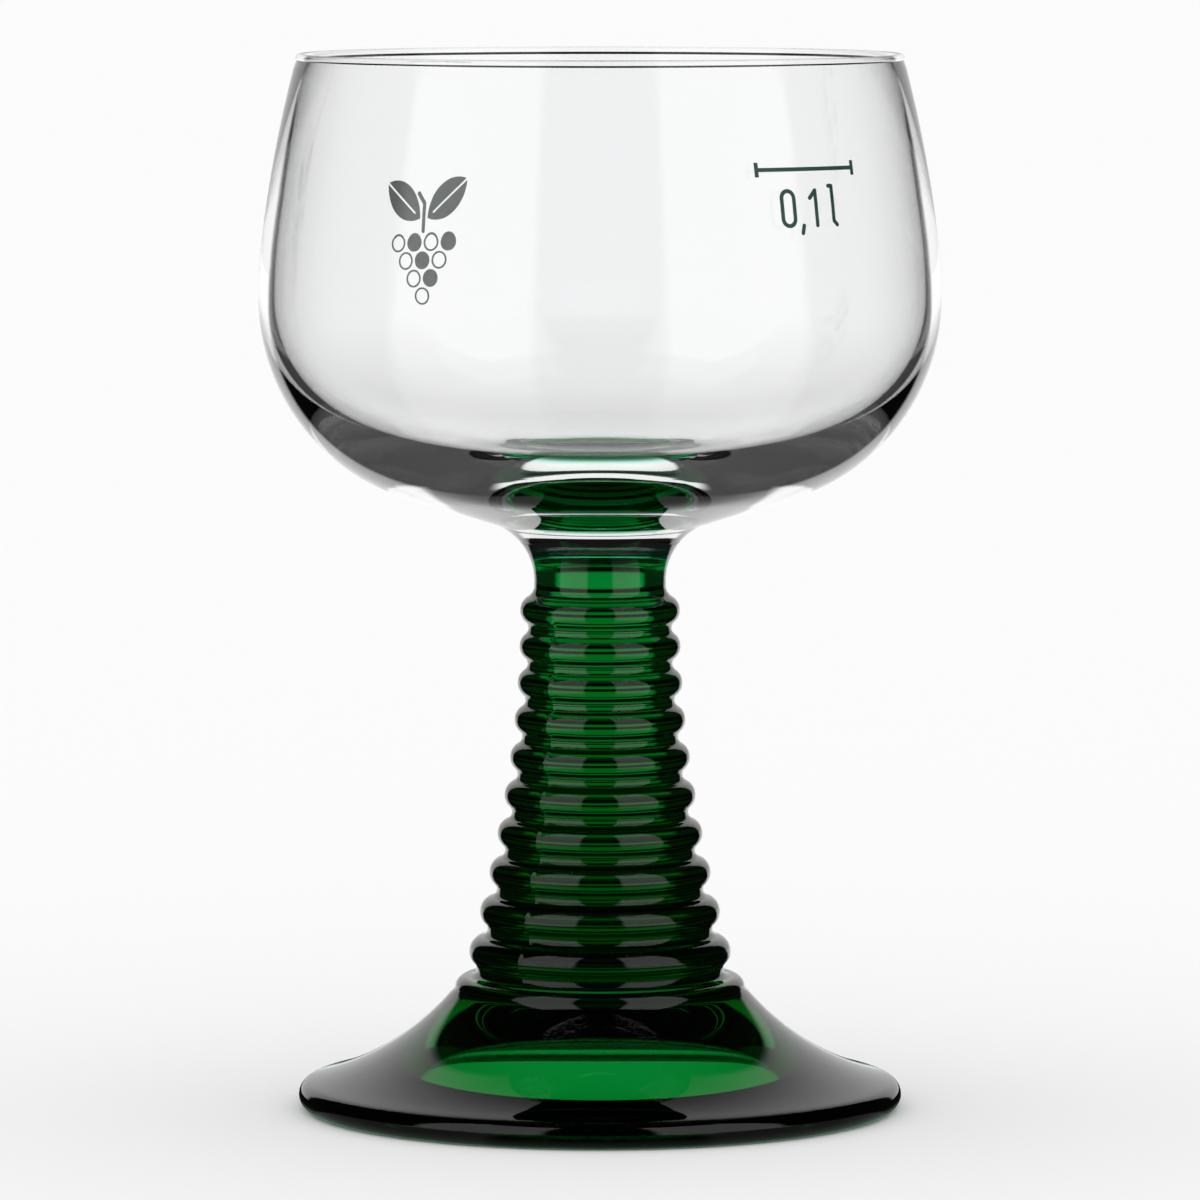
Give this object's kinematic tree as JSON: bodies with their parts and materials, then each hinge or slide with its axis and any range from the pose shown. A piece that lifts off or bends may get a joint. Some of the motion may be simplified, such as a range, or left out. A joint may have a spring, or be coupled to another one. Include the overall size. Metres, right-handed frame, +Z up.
{
  "type": "roemer glass",
  "caption": "Roemer wine glass: rounded clear bowl with a thick base, fused to a green ringed stem with collar and flared foot; green enamel fill line, capacity figures and grape emblem.",
  "frame": {"origin": "on the axis, at the level of the table under the foot", "axes": "+Z up along the axis, -Y towards the viewer of the picture"},
  "size_m": [0.07, 0.07, 0.1086],
  "materials": {
    "clear_glass": "clear, fire polished",
    "green_glass": "clear deep green, pressed",
    "green_enamel": "fired dark green enamel, satin"
  },
  "bodies": {
    "root": {"bowl": "clear_glass", "stem_foot": "green_glass", "fill_line": "green_enamel", "capacity_digits": "green_enamel", "emblem": "green_enamel"}
  },
  "joints": []
}
